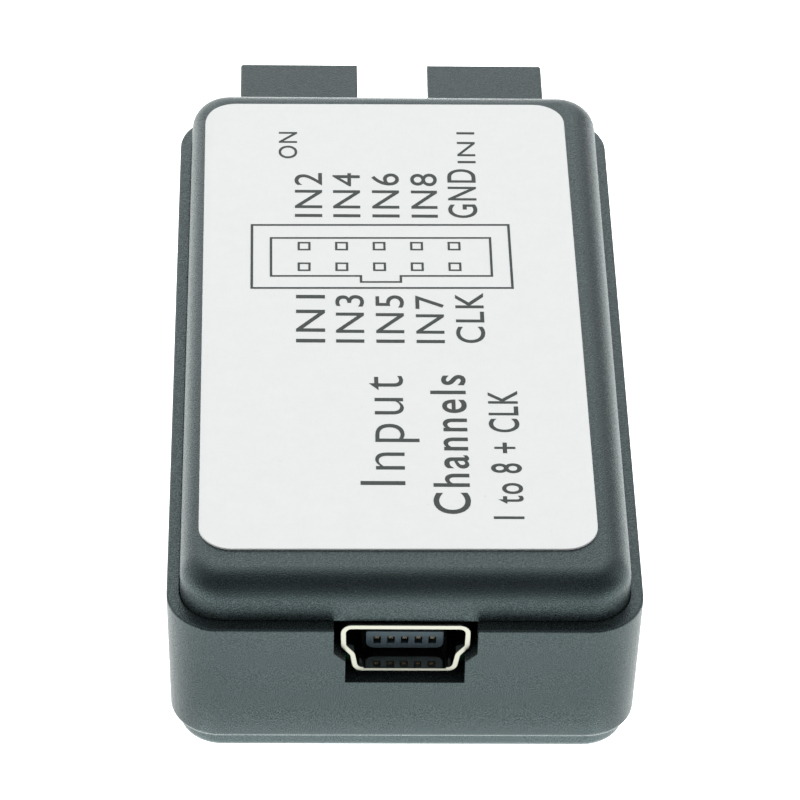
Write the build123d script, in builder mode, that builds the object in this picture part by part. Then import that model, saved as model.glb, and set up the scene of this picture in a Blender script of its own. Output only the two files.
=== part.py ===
# Eight-channel pocket logic analyzer: two-part moulded case, circuit board with a
# mini-B receptacle at the front (-Y) and a ten-way shrouded header at the rear (+Y).
# Millimetres, +Z up, origin at the centre of the flat face the case rests on.
from build123d import *
import os

os.makedirs("parts", exist_ok=True)

# ---------------------------------------------------------------- driving sizes
case_w, case_l, case_h = 28.3, 49.55, 13.4    # moulded case at its rim, without the header
wall_draft = 1.1                              # degrees the outer walls lean in towards the foot
corner_r = 3.2                                # plan radius of the outer band
plateau_r = 2.6                               # plan radius of the upper plateau and the foot
plateau_w, plateau_l, plateau_y = 26.8, 48.08, 0.09   # plan of the upper plateau and its shift
foot_w, foot_l = 26.9, 48.1
band_z0, rim_z = 1.37, 10.45                  # bottom and top of the outer band
wall, floor_t, roof_t = 1.6, 1.3, 1.2
rebate_z = 9.1                                # seat of the cover inside the rim
cut_over = 1.0                                # how far cuts start or run outside the material

pcb_top, pcb_t = 6.56, 1.6
pcb_w, pcb_y0, pcb_y1 = 24.2, -22.7, 21.4
pcb_bot = pcb_top - pcb_t
pcb_mid = pcb_top - pcb_t / 2

post_x, post_y0, post_y1 = 10.3, -20.2, 17.6  # four board posts
post_r, socket_r, pin_r, board_hole_r = 1.6, 0.80, 0.78, 1.0
posts = [(side * post_x, y) for side in (-1, 1) for y in (post_y0, post_y1)]

usb_y, usb_len = -24.15, 9.0                  # receptacle mouth and length
usb_top, usb_h, usb_t = 10.30, 3.72, 0.3      # roof height, overall height, sheet thickness
usb_bot = usb_top - usb_h
pegs = [(-2.2, -16.7), (2.2, -16.7)]          # locating pegs of the receptacle
peg_r, peg_hole_r = 0.45, 0.5

hdr_w, hdr_h, hdr_d = 20.45, 9.0, 9.1         # shrouded header
hdr_mouth = 30.65
hdr_back = hdr_mouth - hdr_d                  # its end towards the board
hdr_mid = pcb_mid + 0.13                      # the pins straddle the board
hdr_bot, hdr_top = hdr_mid - hdr_h / 2, hdr_mid + hdr_h / 2
hdr_notch_w = hdr_w + 0.4                     # opening in shell and cover


# ---------------------------------------------------------------- helpers
def save(shape, name):
    shape.label = name
    export_step(shape, f"parts/{name}.step")


def level(z):
    """Horizontal plane at height z."""
    return Plane.XY.offset(z)


def across(y):
    """Upright plane at y, local x along X and local y along Z; a negative extrusion goes to +Y."""
    return Plane.XZ.offset(-y)


def upright(x, y, outward, z=pcb_top):
    """Upright plane with local x along the unit vector outward and local y along Z."""
    out_x, out_y = outward
    return Plane(origin=(x, y, z), x_dir=(out_x, out_y, 0), z_dir=(out_y, -out_x, 0))


def symmetric(right_side):
    """Closed outline from the points of its right half."""
    left_side = [(-x, z) for x, z in right_side]
    return [left_side[0], *right_side, *left_side[:0:-1]]


def ends(x, y, reach):
    """Two places on either side of (x, y) along X."""
    return [(x - reach, y), (x + reach, y)]


def top_edges(builder):
    return builder.faces().sort_by(Axis.Z)[-1].edges()


def save_blocks(name, spots, size, lift, height, bevel=0, frames=(Plane.XY,)):
    """Rectangular blocks at the spots of every frame, lifted off the board's top face."""
    with BuildPart() as blocks:
        with BuildSketch(*[frame.offset(pcb_top + lift) for frame in frames]):
            with Locations(*spots):
                Rectangle(*size)
        extrude(amount=height)
        if bevel:
            chamfer(top_edges(blocks), bevel)
    save(blocks.part, name)


def save_leads(name, outline, rows, mirrored=False):
    """Bent leads of one side outline; each row is (upright planes, half the lead's width)."""
    with BuildPart() as leads:
        for planes, half_width in rows:
            with BuildSketch(*planes):
                with BuildLine():
                    Polyline(*outline, close=True)
                make_face()
            extrude(amount=half_width, both=True)
        if mirrored:
            mirror(about=Plane.YZ)
    save(leads.part, name)


# ---------------------------------------------------------------- lower shell
band_foot_r, rim_r, base_r = 0.35, 0.12, 0.5   # edge roundings
foot_overlap = 0.5                             # the foot runs up into the band
root = 0.4                                     # posts, rests and ribs start inside the floor
support_z = floor_t - root
support_h = pcb_bot - support_z                # up to the board's underside
rest_x, rest_y, rest_w, rest_l = 12.0, -1.0, 1.6, 1.2
socket_depth = 2.2
rib_y, rib_t, rib_h = 9.0, 0.9, 1.3
hdr_notch_z = hdr_bot - 0.12
notch_top = rim_z + cut_over
# right half of the receptacle notch, from the bottom up: x, z
usb_notch = [(3.55, 6.14), (3.55, 7.9), (4.25, 8.55), (4.25, notch_top)]

with BuildPart() as bottom_shell:
    with BuildSketch(level(rim_z)):
        RectangleRounded(case_w, case_l, corner_r)
    extrude(amount=-(rim_z - band_z0), taper=wall_draft)
    fillet(bottom_shell.faces().sort_by(Axis.Z)[0].edges(), band_foot_r)
    fillet(top_edges(bottom_shell), rim_r)
    with BuildSketch():
        RectangleRounded(foot_w, foot_l, plateau_r)
    extrude(amount=band_z0 + foot_overlap)
    fillet(bottom_shell.faces().sort_by(Axis.Z)[0].edges(), base_r)
    # the tub
    with BuildSketch(level(floor_t)):
        RectangleRounded(case_w - 2 * wall, case_l - 2 * wall, corner_r - wall)
    extrude(amount=notch_top - floor_t, mode=Mode.SUBTRACT)
    # rebate that seats the cover
    with BuildSketch(level(rebate_z)):
        with Locations((0, plateau_y)):
            RectangleRounded(plateau_w, plateau_l, plateau_r)
    extrude(amount=notch_top - rebate_z, mode=Mode.SUBTRACT)
    # board posts
    with BuildSketch(level(support_z)):
        with Locations(*posts):
            Circle(post_r)
    extrude(amount=support_h)
    # side rests under the board, midway along
    with BuildSketch(level(support_z)):
        with Locations(*ends(0, rest_y, rest_x)):
            Rectangle(rest_w, rest_l)
    extrude(amount=support_h)
    # blind sockets in the posts
    with BuildSketch(level(pcb_bot)):
        with Locations(*posts):
            Circle(socket_r)
    extrude(amount=-socket_depth, mode=Mode.SUBTRACT)
    # stiffening ribs across the floor, ends sunk in the side walls
    with BuildSketch(level(support_z)):
        with Locations((0, -rib_y), (0, rib_y)):
            Rectangle(case_w - 2 * wall + 0.4, rib_t)
    extrude(amount=rib_h)
    # notch for the receptacle, open at the rim
    with BuildSketch(across(-case_l / 2 - cut_over)):
        with BuildLine():
            Polyline(*symmetric(usb_notch), close=True)
        make_face()
    extrude(amount=-4.0, mode=Mode.SUBTRACT)
    # notch for the header, open at the rim
    with BuildSketch(across(case_l / 2 - 4)):
        with Locations((0, (hdr_notch_z + notch_top) / 2)):
            Rectangle(hdr_notch_w, notch_top - hdr_notch_z)
    extrude(amount=-6.0, mode=Mode.SUBTRACT)
save(bottom_shell.part, "bottom_shell")

# ---------------------------------------------------------------- upper cover
fit_gap = 0.06                                 # gap between cover wall and rim
cov_w, cov_l = plateau_w - 2 * fit_gap, plateau_l - 2 * fit_gap
cov_r = plateau_r - fit_gap
cov_z0 = rebate_z + 0.02
cover_wall, hollow_r = 1.2, 0.9
edge_r = 1.5                                   # rounding of the top edge
cut_z0 = rebate_z - cut_over
skirt_z = 10.42                                # lower edge of the cover wall over the receptacle
usb_cut_w = 8.5
hdr_cut_z = hdr_top + 0.15
boss_z0, boss_r = pcb_top + 0.03, post_r - 0.1
pin_len, pin_bevel = 3.2, 0.2                  # pin length below the board's top face

with BuildPart() as top_cover:
    with BuildSketch(level(cov_z0)):
        with Locations((0, plateau_y)):
            RectangleRounded(cov_w, cov_l, cov_r)
    extrude(amount=case_h - cov_z0)
    fillet(top_edges(top_cover), edge_r)
    # hollow
    with BuildSketch(level(cut_z0)):
        with Locations((0, plateau_y)):
            RectangleRounded(cov_w - 2 * cover_wall, cov_l - 2 * cover_wall, hollow_r)
    extrude(amount=case_h - roof_t - cut_z0, mode=Mode.SUBTRACT)
    # clearance over the receptacle
    with BuildSketch(across(-case_l / 2 - cut_over)):
        with Locations((0, (cut_z0 + skirt_z) / 2)):
            Rectangle(usb_cut_w, skirt_z - cut_z0)
    extrude(amount=-4.5, mode=Mode.SUBTRACT)
    # clearance over the header
    with BuildSketch(across(case_l / 2 - 5)):
        with Locations((0, (cut_z0 + hdr_cut_z) / 2)):
            Rectangle(hdr_notch_w, hdr_cut_z - cut_z0)
    extrude(amount=-6.5, mode=Mode.SUBTRACT)
    # four bosses that hold the board down, each with a friction pin
    with BuildSketch(level(boss_z0)):
        with Locations(*posts):
            Circle(boss_r)
    extrude(amount=case_h - roof_t - pcb_top + 0.3)
    with BuildSketch(level(pcb_top - pin_len)):
        with Locations(*posts):
            Circle(pin_r)
    extrude(amount=pin_len + 0.5)
    # the four lowest faces are the pin tips
    chamfer(top_cover.faces().sort_by(Axis.Z)[0:4].edges(), pin_bevel)
save(top_cover.part, "top_cover")

# ---------------------------------------------------------------- label on the cover
label_w, label_l, label_t, label_r = 23.65, 43.15, 0.12, 2.0
label_x, label_y, label_turn = -0.53, 0.60, 0.3      # slightly off centre and askew, in degrees
label_gap = 0.002                                    # keeps the label clear of the cover
label_plane = Plane(origin=(label_x, label_y, case_h - 1.0)).rotated((0, 0, label_turn))

# what the label is pressed down onto
with BuildPart() as cover_block:
    with BuildSketch(level(case_h - 3)):
        with Locations((0, plateau_y)):
            RectangleRounded(cov_w + 2 * label_gap, cov_l + 2 * label_gap, cov_r + label_gap)
    extrude(amount=3 + label_gap)
    fillet(top_edges(cover_block), edge_r + label_gap)

with BuildPart() as top_label:
    with BuildSketch(level(case_h - 2)):
        with Locations((0, plateau_y)):
            RectangleRounded(cov_w + 2 * label_t, cov_l + 2 * label_t, cov_r + label_t)
    extrude(amount=2 + label_gap + label_t)
    fillet(top_edges(top_label), edge_r + label_t)
    add(cover_block.part, mode=Mode.SUBTRACT)
    with BuildSketch(label_plane):
        RectangleRounded(label_w, label_l, label_r)
    extrude(amount=2.0, mode=Mode.INTERSECT)
save(top_label.part, "top_label")

# ---------------------------------------------------------------- circuit board
with BuildPart() as circuit_board:
    with BuildSketch(level(pcb_bot)):
        with Locations((0, (pcb_y0 + pcb_y1) / 2)):
            RectangleRounded(pcb_w, pcb_y1 - pcb_y0, 0.6)
        with Locations(*posts):
            Circle(board_hole_r, mode=Mode.SUBTRACT)
        with Locations(*pegs):
            Circle(peg_hole_r, mode=Mode.SUBTRACT)
    extrude(amount=pcb_t)
save(circuit_board.part, "circuit_board")

# ---------------------------------------------------------------- receptacle shield
# right halves of the outlines, from the top down: x, z
shield_side = [(3.85, usb_top), (3.80, usb_top - 1.75), (3.26, usb_top - 2.42), (3.04, usb_bot)]
back_side = [(3.6, usb_top - 0.1), (3.5, usb_top - 1.7), (3.0, usb_top - 2.40),
             (2.9, usb_bot + 1.1)]
shield_bottom_r, shield_top_r, shield_side_r = 0.62, 0.66, 0.40
floor_cut_w, floor_cut_t = 4.9, 0.15           # thinning of the shield's floor
# soldering foot, seen along the receptacle: outward from foot_x, z
foot_outline = [(-0.10, usb_bot + 0.9), (0.35, usb_bot + 0.9), (0.42, usb_bot + 0.28),
                (1.65, usb_bot + 0.28), (1.65, usb_bot - 0.02), (-0.10, usb_bot - 0.02)]
foot_x, foot_ys, foot_half = 3.1, (-21.3, -17.0), 0.9
window_x, window_y, window_l, window_w = 2.0, -20.6, 2.6, 0.9
exit_w, exit_z0, exit_z1 = 4.6, usb_bot - 0.5, usb_top - 1.8   # slot in the back plate

with BuildPart() as usb_shield:
    with BuildSketch(across(usb_y)) as shield_outline:
        with BuildLine():
            Polyline(*symmetric(shield_side), close=True)
        make_face()
        fillet(shield_outline.vertices().group_by(Axis.Y)[0], shield_bottom_r)
        fillet(shield_outline.vertices().group_by(Axis.Y)[-1], shield_top_r)
        fillet([v for v in shield_outline.vertices() if usb_top - 2.6 < v.Y < usb_top - 1.6],
               shield_side_r)
        offset(amount=-usb_t, mode=Mode.SUBTRACT)
    extrude(amount=-usb_len)
    # the floor is thinner than the other walls
    with BuildSketch(across(usb_y)):
        with Locations((0, usb_bot + 0.275)):
            Rectangle(floor_cut_w, floor_cut_t)
    extrude(amount=-(usb_len - usb_t), mode=Mode.SUBTRACT)
    # closed back
    with BuildSketch(across(usb_y + usb_len - usb_t)):
        with BuildLine():
            Polyline(*symmetric(back_side), close=True)
        make_face()
    extrude(amount=-usb_t)
    # four soldering feet
    for side in (-1, 1):
        for foot_y in foot_ys:
            with BuildSketch(upright(side * foot_x, foot_y, (side, 0), z=0)):
                with BuildLine():
                    Polyline(*foot_outline, close=True)
                make_face()
            extrude(amount=foot_half, both=True)
    # latch windows in the roof
    with BuildSketch(level(usb_top - 1)):
        with Locations(*ends(0, window_y, window_x)):
            SlotOverall(window_l, window_w, rotation=90)
    extrude(amount=1.5, mode=Mode.SUBTRACT)
    # holes in the floor for the insulator's pegs
    with BuildSketch(level(usb_bot - 0.1)):
        with Locations(*pegs):
            Circle(peg_hole_r)
    extrude(amount=0.6, mode=Mode.SUBTRACT)
    # slot in the back plate where the contacts leave
    with BuildSketch(across(usb_y + usb_len - 1.0)):
        with Locations((0, (exit_z0 + exit_z1) / 2)):
            Rectangle(exit_w, exit_z1 - exit_z0)
    extrude(amount=-2.0, mode=Mode.SUBTRACT)
save(usb_shield.part, "usb_shield")

# ---------------------------------------------------------------- receptacle insulator
# right half of the block's outline, from the top down: x, z
insulator_side = [(3.42, usb_top - 0.36), (3.38, usb_top - 1.60), (2.84, usb_top - 2.28),
                  (2.64, usb_bot + 0.34)]
insulator_r = 0.30
block_set, block_gap = 6.3, 0.02               # set back from the mouth, gap to the back plate
tongue_set, tongue_end = 1.38, 6.5             # from the mouth
tongue_z, tongue_w, tongue_h = 7.815, 4.6, 1.33    # mid-height, width, thickness
tongue_bottom_r, tongue_top_r = 0.48, 0.12
contact_xs = [i * 0.82 for i in range(-2, 3)]
slot_z, slot_w, slot_h = tongue_z - 0.015, 0.45, 0.53
peg_z0, peg_z1 = pcb_top - 1.1, usb_bot + 0.60

with BuildPart() as usb_insulator:
    with BuildSketch(across(usb_y + block_set)) as insulator_outline:
        with BuildLine():
            Polyline(*symmetric(insulator_side), close=True)
        make_face()
        fillet(insulator_outline.vertices(), insulator_r)
    extrude(amount=-(usb_len - usb_t - block_set - block_gap))
    # tongue
    with BuildSketch(across(usb_y + tongue_set)) as tongue_outline:
        with Locations((0, tongue_z)):
            Rectangle(tongue_w, tongue_h)
        fillet(tongue_outline.vertices().group_by(Axis.Y)[0], tongue_bottom_r)
        fillet(tongue_outline.vertices().group_by(Axis.Y)[-1], tongue_top_r)
    extrude(amount=-(tongue_end - tongue_set))
    # contact slots along the tongue
    with BuildSketch(across(usb_y + 0.5)):
        with Locations(*[(x, slot_z) for x in contact_xs]):
            Rectangle(slot_w, slot_h)
    extrude(amount=-(usb_len - 0.4), mode=Mode.SUBTRACT)
    # pegs into the board
    with BuildSketch(level(peg_z0)):
        with Locations(*pegs):
            Circle(peg_r)
    extrude(amount=peg_z1 - peg_z0)
save(usb_insulator.part, "usb_insulator")

# ---------------------------------------------------------------- receptacle contacts
contact_z0, contact_z1 = tongue_z - 0.035, tongue_z + 0.145
# side outline: distance from the mouth, z
contact_outline = [
    (1.50, contact_z1), (1.50, contact_z0),
    (usb_len + 0.22, contact_z0), (usb_len + 0.22, pcb_top + 0.02),
    (usb_len + 1.4, pcb_top + 0.02), (usb_len + 1.4, pcb_top + 0.22),
    (usb_len + 0.42, pcb_top + 0.22), (usb_len + 0.42, contact_z1)]
save_leads("usb_contacts", contact_outline,
           [([upright(x, usb_y, (0, 1), z=0) for x in contact_xs], 0.14)])

# ---------------------------------------------------------------- ten-way header
hdr_wall, hdr_base = 1.2, 2.5                  # side walls, solid base
hdr_edge_r, hdr_lead_in = 0.2, 0.35
key_x, key_w = 0.07, 4.76
pitch, pin_sq = 2.54, 0.64
pin_hole = pin_sq + 0.04
pin_tail, pin_reach = 3.0, 5.6                 # behind the header, in front of its base
pin_tip, pin_tail_tip = 0.16, 0.12             # end bevels

with BuildPart() as header_shroud:
    with BuildSketch(across(hdr_back)):
        with Locations((0, hdr_mid)):
            Rectangle(hdr_w, hdr_h)
    extrude(amount=-hdr_d)
    fillet(header_shroud.edges().filter_by(Axis.Y), hdr_edge_r)
    with BuildSketch(across(hdr_back + hdr_base)):
        with Locations((0, hdr_mid)):
            Rectangle(hdr_w - 2 * hdr_wall, hdr_h - 2 * hdr_wall)
    extrude(amount=-hdr_d, mode=Mode.SUBTRACT)
    mouth_face = header_shroud.faces().sort_by(Axis.Y)[-1]
    chamfer(mouth_face.inner_wires()[0].edges(), hdr_lead_in)
    # polarising key in the upper wall
    with BuildSketch(across(hdr_back + hdr_base)):
        with Locations((key_x, hdr_top)):
            Rectangle(key_w, 2 * hdr_wall + 0.6)
    extrude(amount=-hdr_d, mode=Mode.SUBTRACT)
    # pin holes
    with BuildSketch(across(hdr_back - cut_over)):
        with Locations((0, hdr_mid)):
            with GridLocations(pitch, pitch, 5, 2):
                Rectangle(pin_hole, pin_hole)
    extrude(amount=-(hdr_base + 2 * cut_over), mode=Mode.SUBTRACT)
    # a shallow recess in each side wall, level with a pin row
    with BuildSketch(across(hdr_back + 0.5)):
        with Locations((-hdr_w / 2, hdr_mid - pitch / 2), (hdr_w / 2, hdr_mid + pitch / 2)):
            Rectangle(0.3, 1.2)
    extrude(amount=-1.4, mode=Mode.SUBTRACT)
save(header_shroud.part, "header_shroud")

with BuildPart() as header_pins:
    with BuildSketch(across(hdr_back - pin_tail)):
        with Locations((0, hdr_mid)):
            with GridLocations(pitch, pitch, 5, 2):
                Rectangle(pin_sq, pin_sq)
    extrude(amount=-(pin_tail + hdr_base + pin_reach))
    chamfer(header_pins.faces().group_by(Axis.Y)[-1].edges(), pin_tip)
    chamfer(header_pins.faces().group_by(Axis.Y)[0].edges(), pin_tail_tip)
save(header_pins.part, "header_pins")

# ---------------------------------------------------------------- controller, 56 leads
mcu_y, mcu_w, mcu_l = 2.0, 7.5, 18.4           # centred on x = 0
mcu_z0, mcu_z1 = pcb_top + 0.15, pcb_top + 2.45
mcu_lead_pitch = 0.635
# z, amount the section is smaller than the waist
mcu_sections = [(mcu_z0, 0.3), ((mcu_z0 + mcu_z1) / 2, 0), (mcu_z1, 0.3)]

with BuildPart() as controller_body:
    for half_body in (mcu_sections[:2], mcu_sections[1:]):
        for z, inset in half_body:
            with BuildSketch(level(z)):
                with Locations((0, mcu_y)):
                    Rectangle(mcu_w - inset, mcu_l - inset)
        loft()
    # round dimple in the top
    with BuildSketch(level(mcu_z1)):
        with Locations((2.6, mcu_y - 8.1)):
            Circle(0.45)
    extrude(amount=-0.08, mode=Mode.SUBTRACT)
save(controller_body.part, "controller_body")

# lead outlines, here and below: distance outward from the plane's origin, height above the board
mcu_lead = [(3.76, 1.36), (4.25, 1.36), (4.44, 0.17), (5.2, 0.17),
            (5.2, 0.02), (4.30, 0.02), (4.10, 1.20), (3.76, 1.20)]
mcu_lead_planes = [upright(0, mcu_y + (i - 13.5) * mcu_lead_pitch, (1, 0)) for i in range(28)]
save_leads("controller_leads", mcu_lead, [(mcu_lead_planes, 0.14)], mirrored=True)

# ---------------------------------------------------------------- settings memory, 8 leads
mem_x, mem_y = -8.7, -3.6
mem_w, mem_l, mem_h, mem_lift = 3.9, 4.9, 1.45, 0.12
mem_lead_pitch = 1.27

with BuildPart() as memory_body:
    with BuildSketch(level(pcb_top + mem_lift)):
        with Locations((mem_x, mem_y)):
            Rectangle(mem_w, mem_l)
    extrude(amount=mem_h)
    chamfer(top_edges(memory_body), 0.18)
    # round dimple in the top
    with BuildSketch(level(pcb_top + mem_lift + mem_h)):
        with Locations((mem_x - 1.2, mem_y - 1.7)):
            Circle(0.3)
    extrude(amount=-0.07, mode=Mode.SUBTRACT)
save(memory_body.part, "memory_body")

mem_lead = [(1.97, 0.86), (2.30, 0.86), (2.46, 0.20), (3.0, 0.20),
            (3.0, 0.02), (2.32, 0.02), (2.16, 0.68), (1.97, 0.68)]
mem_lead_planes = [upright(mem_x, mem_y + (i - 1.5) * mem_lead_pitch, (side, 0))
                   for i in range(4) for side in (-1, 1)]
save_leads("memory_leads", mem_lead, [(mem_lead_planes, 0.2)])

# ---------------------------------------------------------------- regulator
reg_x, reg_y, reg_lead_pitch = -7.4, -11.6, 2.3
save_blocks("regulator_body", [(reg_x, reg_y)], size=(6.5, 3.5), lift=0.06, height=1.6,
            bevel=0.25)

reg_lead = [(1.78, 0.98), (2.25, 0.98), (2.45, 0.27), (3.45, 0.27),
            (3.45, 0.02), (2.25, 0.02), (2.05, 0.73), (1.78, 0.73)]
# three narrow leads towards the front, one wide tab towards the rear
reg_lead_planes = [upright(reg_x + i * reg_lead_pitch, reg_y, (0, -1)) for i in (-1, 0, 1)]
save_leads("regulator_leads", reg_lead,
           [(reg_lead_planes, 0.35), ([upright(reg_x, reg_y, (0, 1))], 1.5)])

# ---------------------------------------------------------------- crystal
crystal_x, crystal_y = 6.1, -11.4

with BuildPart() as crystal_base:
    with BuildSketch(level(pcb_top + 0.25)):
        with Locations((crystal_x, crystal_y)):
            SlotOverall(11.3, 4.7)
    extrude(amount=0.5)
save(crystal_base.part, "crystal_base")

with BuildPart() as crystal_can:
    with BuildSketch(level(pcb_top + 0.76)):
        with Locations((crystal_x, crystal_y)):
            SlotOverall(10.6, 4.1)
    extrude(amount=3.1)
    fillet(top_edges(crystal_can), 0.5)
save(crystal_can.part, "crystal_can")

save_blocks("crystal_leads", ends(crystal_x, crystal_y, 4.3), size=(2.6, 0.7), lift=0.02,
            height=0.22)

# ---------------------------------------------------------------- small two-ended parts
# x, y, whether it lies along X
capacitors = [(2.6, -8.0, True), (8.6, -8.0, True), (8.2, -5.6, True),
              (8.2, -3.8, True), (8.2, -2.0, True), (-8.2, 1.3, True),
              (-8.2, 3.1, True), (-8.2, 4.9, True), (-1.4, -12.6, False)]
resistors = [(-7.1, 14.5, False), (6.9, 14.5, False), (-8.2, 7.4, True), (-8.2, 9.1, True),
             (-3.2, -13.2, False), (-2.6, -9.6, True), (8.2, 12.2, True)]
chip_size = (0.96, 0.8)
chip_ends = ends(0, 0, 0.65)


def chip_frames(rows):
    return [Plane(origin=(x, y, 0), x_dir=((1, 0, 0) if along_x else (0, 1, 0)),
                  z_dir=(0, 0, 1)) for x, y, along_x in rows]


save_blocks("ceramic_capacitors", [(0, 0)], size=chip_size, lift=0.03, height=0.74,
            frames=chip_frames(capacitors))
save_blocks("capacitor_terminals", chip_ends, size=(0.32, 0.84), lift=0.01, height=0.78,
            frames=chip_frames(capacitors))
save_blocks("chip_resistors", [(0, 0)], size=chip_size, lift=0.03, height=0.42,
            frames=chip_frames(resistors))
save_blocks("resistor_terminals", chip_ends, size=(0.32, 0.82), lift=0.01, height=0.45,
            frames=chip_frames(resistors))

# ---------------------------------------------------------------- input resistor arrays
arrays = [(8.3, 2.6), (8.3, 7.6)]
array_reach, array_pitch = 0.68, 0.8
array_ends = [(x + side * array_reach, y + (i - 1.5) * array_pitch)
              for x, y in arrays for side in (-1, 1) for i in range(4)]
save_blocks("resistor_arrays", arrays, size=(1.06, 3.2), lift=0.05, height=0.55)
save_blocks("array_terminals", array_ends, size=(0.28, 0.46), lift=0.01, height=0.60)

# ---------------------------------------------------------------- bulk capacitor, fuse, ferrite
bulk_at = (-8.6, 12.1)
save_blocks("bulk_capacitor", [bulk_at], size=(3.0, 1.6), lift=0.06, height=1.6, bevel=0.12)
save_blocks("bulk_capacitor_terminals", ends(*bulk_at, 1.62), size=(0.22, 1.2), lift=0.01,
            height=0.8)

fuse_at = (7.4, -16.6)
save_blocks("resettable_fuse", [fuse_at], size=(2.3, 1.6), lift=0.04, height=0.6)
save_blocks("fuse_terminals", ends(*fuse_at, 1.38), size=(0.44, 1.64), lift=0.01, height=0.66)

ferrite_at = (-7.4, -17.2)
save_blocks("ferrite_bead", [ferrite_at], size=(1.3, 1.25), lift=0.04, height=0.85)
save_blocks("ferrite_terminals", ends(*ferrite_at, 0.86), size=(0.4, 1.28), lift=0.01,
            height=0.9)

# ---------------------------------------------------------------- indicator lamps
lamps = {"power_led": (-7.1, 17.4), "channel_led": (6.9, 17.4)}
for lamp_name, lamp_at in lamps.items():
    save_blocks(lamp_name, [lamp_at], size=(1.15, 1.3), lift=0.36, height=0.5, bevel=0.12)
save_blocks("led_bases", lamps.values(), size=(1.25, 2.0), lift=0.01, height=0.34)
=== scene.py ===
"""Looks and studio for a small USB instrument in a black moulded case.

The case lies flat on the floor (z = 0), label upwards. The USB mouth faces -Y, towards the
camera, and the pin header is at the +Y end. Materials, floor, lights and camera are in metres;
label artwork and board details are laid out in millimetres.
"""
import bpy, bmesh, math
from mathutils import Matrix, Vector

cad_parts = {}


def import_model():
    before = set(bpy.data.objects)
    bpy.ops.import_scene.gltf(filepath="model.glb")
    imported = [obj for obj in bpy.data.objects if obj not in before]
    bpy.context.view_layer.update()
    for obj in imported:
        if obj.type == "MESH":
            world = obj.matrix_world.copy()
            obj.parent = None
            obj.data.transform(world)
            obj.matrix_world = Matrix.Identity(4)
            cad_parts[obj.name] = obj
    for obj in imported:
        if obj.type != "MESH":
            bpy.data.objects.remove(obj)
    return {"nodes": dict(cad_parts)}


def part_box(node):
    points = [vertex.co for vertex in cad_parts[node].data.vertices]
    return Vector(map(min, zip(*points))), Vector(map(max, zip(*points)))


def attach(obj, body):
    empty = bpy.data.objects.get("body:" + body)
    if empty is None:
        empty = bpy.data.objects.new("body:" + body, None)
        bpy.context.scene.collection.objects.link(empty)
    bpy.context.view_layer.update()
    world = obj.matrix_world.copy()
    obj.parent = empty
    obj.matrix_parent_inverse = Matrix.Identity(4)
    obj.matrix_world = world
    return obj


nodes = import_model()["nodes"]
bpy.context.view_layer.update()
scene = bpy.context.scene
MM = 0.001

# ------------------------------------------------------------------ shader helpers


class Net:
    """A node tree with one short call for each kind of node used here."""

    def __init__(self, tree):
        self.tree = tree

    def node(self, kind, **settings):
        node = self.tree.nodes.new(kind)
        for name, value in settings.items():
            setattr(node, name, value)
        return node

    def put(self, value, socket):
        """Link an output to a socket, or set a number or an rgb colour on it."""
        if hasattr(value, "node"):
            self.tree.links.new(value, socket)
        else:
            socket.default_value = (*value, 1) if isinstance(value, tuple) else value

    def coords(self, scale=(1, 1, 1)):
        source = self.node("ShaderNodeTexCoord")
        mapping = self.node("ShaderNodeMapping")
        mapping.inputs["Scale"].default_value = scale
        self.put(source.outputs["Object"], mapping.inputs["Vector"])
        return mapping.outputs["Vector"]

    def axes(self, vector):
        split = self.node("ShaderNodeSeparateXYZ")
        self.put(vector, split.inputs[0])
        return split.outputs

    def noise(self, vector, scale, detail=3.0, roughness=0.6):
        noise = self.node("ShaderNodeTexNoise")
        self.put(scale, noise.inputs["Scale"])
        self.put(detail, noise.inputs["Detail"])
        self.put(roughness, noise.inputs["Roughness"])
        self.put(vector, noise.inputs["Vector"])
        return noise.outputs["Fac"]

    def ramp(self, value, dark, light, over=(0.3, 0.7)):
        """Colour running from dark to light as value crosses the range over."""
        ramp = self.node("ShaderNodeValToRGB")
        for stop, place, colour in zip(ramp.color_ramp.elements, over, (dark, light)):
            stop.position = place
            stop.color = (*colour, 1)
        self.put(value, ramp.inputs["Fac"])
        return ramp.outputs["Color"]

    def remap(self, value, to, over=(0.3, 0.7), kind="LINEAR"):
        """Number running between the two ends of to as value crosses the range over."""
        remap = self.node("ShaderNodeMapRange", interpolation_type=kind)
        for ends, (low, high) in (("From", over), ("To", to)):
            self.put(low, remap.inputs[ends + " Min"])
            self.put(high, remap.inputs[ends + " Max"])
        self.put(value, remap.inputs["Value"])
        return remap.outputs["Result"]

    def mix(self, factor, first, second):
        mix = self.node("ShaderNodeMix", data_type="RGBA")
        for socket, value in ((0, factor), (6, first), (7, second)):
            self.put(value, mix.inputs[socket])
        return mix.outputs[2]

    def math(self, operation, first, second):
        node = self.node("ShaderNodeMath", operation=operation)
        self.put(first, node.inputs[0])
        self.put(second, node.inputs[1])
        return node.outputs[0]

    def plus(self, first, second):
        return self.math("ADD", first, second)

    def minus(self, first, second):
        return self.math("SUBTRACT", first, second)

    def product(self, result, *factors):
        for factor in factors:
            result = self.math("MULTIPLY", result, factor)
        return result

    def absolute(self, value):
        return self.math("ABSOLUTE", value, 0.0)


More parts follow.
